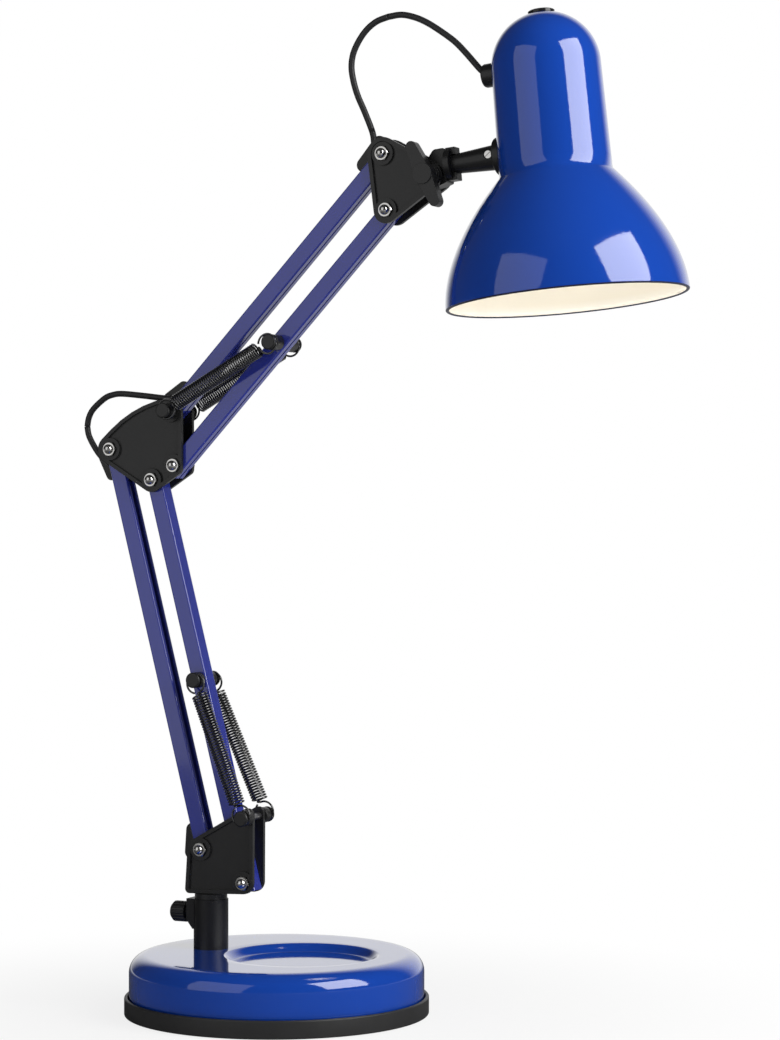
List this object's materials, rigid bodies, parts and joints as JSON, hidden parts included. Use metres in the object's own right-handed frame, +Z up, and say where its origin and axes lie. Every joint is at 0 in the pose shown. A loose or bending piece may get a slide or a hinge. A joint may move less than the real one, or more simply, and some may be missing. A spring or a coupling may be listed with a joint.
{
  "type": "architect lamp",
  "caption": "Balanced-arm desk lamp with a weighted round base, sprung pairs of parallel arms, a tilting and turning bell shade and a push switch on its crown.",
  "frame": {"origin": "on the table, under the middle of the round base", "axes": "+Z up; the arms lie in the XZ plane and the head reaches towards +X; -Y is the front, where the nuts and the wing knob are"},
  "size_m": [0.3648, 0.17, 0.5532],
  "materials": {
    "blue_paint": "gloss enamel",
    "black_plastic": "satin",
    "gloss_black": "gloss",
    "nickel": "bright plated",
    "steel": "plated",
    "black_wire": "black lacquered wire",
    "cast_iron": "raw casting",
    "flex": "satin sheath",
    "holder": "moulded",
    "bulb_glass": "opal"
  },
  "bodies": {
    "base": {"base_tray": "black_plastic", "base_ballast": "cast_iron", "base_cover": "blue_paint", "stem": "black_plastic", "stem_nut": "steel"},
    "thumbscrew": {"thumbscrew": "black_plastic"},
    "bracket": {"swivel_post": "black_plastic", "bracket_front": "black_plastic", "bracket_rear": "black_plastic", "bracket_bolts": "nickel", "bracket_nuts": "nickel", "foot_post": "steel"},
    "lower_arm_back": {"lower_arm_back": "blue_paint", "lower_flex": "flex"},
    "lower_arm_fore": {"lower_arm_fore": "blue_paint", "lower_pin": "steel", "lower_pin_bobbins": "black_plastic"},
    "lower_bobbins": {"foot_post_bobbins": "black_plastic"},
    "lower_springs": {"lower_spring_near": "black_wire", "lower_spring_far": "black_wire"},
    "elbow": {"elbow_front": "black_plastic", "elbow_rear": "black_plastic", "elbow_bolts": "nickel", "elbow_nuts": "nickel", "elbow_post": "steel", "elbow_flex": "flex"},
    "upper_arm_back": {"upper_arm_back": "blue_paint", "upper_flex": "flex"},
    "upper_arm_fore": {"upper_arm_fore": "blue_paint", "upper_pin": "steel", "upper_pin_bobbins": "black_plastic"},
    "upper_bobbins": {"elbow_post_bobbins": "black_plastic"},
    "upper_springs": {"upper_spring_near": "black_wire", "upper_spring_far": "black_wire"},
    "head_bracket": {"head_front": "black_plastic", "head_rear": "black_plastic", "head_bolts": "nickel", "head_nuts": "nickel", "tilt_bolt": "nickel"},
    "wing_knob": {"wing_knob": "black_plastic"},
    "knuckle": {"knuckle": "black_plastic", "head_flex": "flex"},
    "shade": {"shade_tube": "black_plastic", "tube_screw": "nickel", "shade_collar": "black_plastic", "tube_nut": "steel", "shade": "blue_paint", "holder_strap": "steel", "lampholder": "holder", "bulb": "bulb_glass", "switch_body": "black_plastic", "switch_bezel": "gloss_black", "cord_gland": "black_plastic"},
    "switch_button": {"switch_button": "gloss_black"}
  },
  "joints": [
    {"name": "base_swivel", "type": "hinge", "parent": "base", "child": "bracket", "pos_m": [-0.042, 0, 0.06], "axis": [0, 0, 1], "range_deg": [-160, 160]},
    {"name": "thumbscrew_turn", "type": "hinge", "parent": "base", "child": "thumbscrew", "pos_m": [-0.06, 0, 0.0531], "axis": [1, 0, 0], "continuous": true},
    {"name": "lower_arm", "type": "hinge", "parent": "bracket", "child": "lower_arm_back", "pos_m": [-0.0448, 0, 0.0897], "axis": [0, 1, 0], "range_deg": [-20, 6]},
    {"name": "lower_arm_fore", "type": "hinge", "parent": "bracket", "child": "lower_arm_fore", "pos_m": [-0.01763, 0, 0.07205], "axis": [0, 1, 0], "range_deg": [-20.02, 6.01]},
    {"name": "elbow", "type": "hinge", "parent": "lower_arm_back", "child": "elbow", "pos_m": [-0.10386, 0, 0.31561], "axis": [0, 1, 0], "range_deg": [-6.01, 20.02], "deforming": ["elbow_flex"]},
    {"name": "lower_bobbins_turn", "type": "hinge", "parent": "bracket", "child": "lower_bobbins", "pos_m": [-0.01443, 0, 0.10875], "axis": [0, 1, 0], "range_deg": [-26.7, 8.02]},
    {"name": "lower_springs_stretch", "type": "slide", "parent": "lower_bobbins", "child": "lower_springs", "axis": [-0.3945, 0, 0.9189], "range_m": [-0.00239, 0.00795], "deforming": ["lower_spring_near", "lower_spring_far"]},
    {"name": "upper_arm", "type": "hinge", "parent": "elbow", "child": "upper_arm_back", "pos_m": [-0.06435, 0, 0.33691], "axis": [0, 1, 0], "range_deg": [-10, 45]},
    {"name": "upper_arm_fore", "type": "hinge", "parent": "elbow", "child": "upper_arm_fore", "pos_m": [-0.06219, 0, 0.30598], "axis": [0, 1, 0], "range_deg": [-10.02, 45.03]},
    {"name": "head_bracket", "type": "hinge", "parent": "upper_arm_back", "child": "head_bracket", "pos_m": [0.06878, 0, 0.47525], "axis": [0, 1, 0], "range_deg": [-45.03, 10.02]},
    {"name": "upper_bobbins_turn", "type": "hinge", "parent": "elbow", "child": "upper_bobbins", "pos_m": [-0.06435, 0, 0.33691], "axis": [0, 1, 0], "range_deg": [-10.52, 47.28]},
    {"name": "upper_springs_stretch", "type": "slide", "parent": "upper_bobbins", "child": "upper_springs", "axis": [0.8775, 0, 0.4796], "range_m": [-0.00526, 0.02369], "deforming": ["upper_spring_near", "upper_spring_far"]},
    {"name": "wing_knob_turn", "type": "hinge", "parent": "head_bracket", "child": "wing_knob", "pos_m": [0.09698, 0, 0.46185], "axis": [0, 1, 0], "continuous": true},
    {"name": "head_tilt", "type": "hinge", "parent": "head_bracket", "child": "knuckle", "pos_m": [0.09698, 0, 0.46185], "axis": [0, 1, 0], "range_deg": [-60, 30], "deforming": ["head_flex"]},
    {"name": "shade_turn", "type": "hinge", "parent": "knuckle", "child": "shade", "pos_m": [0.10545, 0, 0.46771], "axis": [0.9952, 0, 0.0976], "range_deg": [-60, 60]},
    {"name": "switch_press", "type": "slide", "parent": "shade", "child": "switch_button", "axis": [0.0976, 0, -0.9952], "range_m": [0, 0.0015], "stiffness_N_per_m": 400}
  ],
  "couplings": [
    {"joint": "lower_arm_fore", "follows": "lower_arm", "ratio": 1},
    {"joint": "elbow", "follows": "lower_arm", "ratio": -1},
    {"joint": "lower_bobbins_turn", "follows": "lower_arm", "ratio": 1.334},
    {"joint": "lower_springs_stretch", "follows": "lower_arm", "m_per_rad": -0.02274},
    {"joint": "upper_arm_fore", "follows": "upper_arm", "ratio": 1},
    {"joint": "head_bracket", "follows": "upper_arm", "ratio": -1},
    {"joint": "upper_bobbins_turn", "follows": "upper_arm", "ratio": 1.05},
    {"joint": "upper_springs_stretch", "follows": "upper_arm", "m_per_rad": 0.0301}
  ]
}
